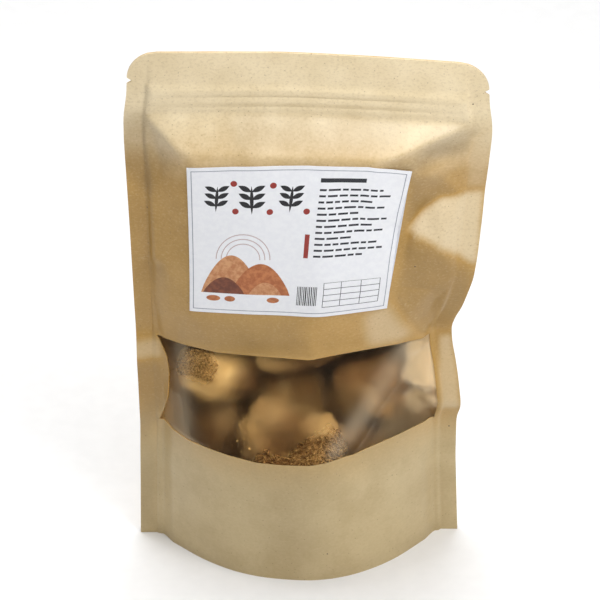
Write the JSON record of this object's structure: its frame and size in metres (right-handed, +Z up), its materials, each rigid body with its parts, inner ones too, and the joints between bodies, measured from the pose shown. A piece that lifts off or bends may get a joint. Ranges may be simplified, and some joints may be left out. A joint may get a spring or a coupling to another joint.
{
  "type": "stand-up kraft pouch of dried lion's mane mushrooms",
  "caption": "Sealed stand-up kraft pouch with a frosted film window, a paper label and a press-to-close strip, holding dried lion's mane mushrooms.",
  "frame": {"origin": "on the surface that the pouch stands on, under its middle", "axes": "+Z up, -Y out of the front that bears the label and the window, +X to the right seen from the front"},
  "size_m": [0.1596, 0.0769, 0.2604],
  "materials": {
    "kraft_paper": "brown kraft paper laminated on plastic film, satin",
    "window_film": "frosted clear film, slightly crumpled",
    "label_paper": "coated white sticker paper",
    "zip_plastic": "translucent plastic",
    "dried_mushroom": "dry, rough, golden brown"
  },
  "bodies": {
    "root": {"front_panel": "kraft_paper", "back_panel": "kraft_paper", "bottom_gusset": "kraft_paper", "window_film": "window_film", "label": "label_paper", "zip_strip_front": "zip_plastic", "zip_strip_back": "zip_plastic", "mushroom_1": "dried_mushroom", "mushroom_2": "dried_mushroom", "mushroom_3": "dried_mushroom", "mushroom_4": "dried_mushroom", "mushroom_5": "dried_mushroom", "mushroom_6": "dried_mushroom", "mushroom_7": "dried_mushroom", "mushroom_8": "dried_mushroom"}
  },
  "joints": []
}
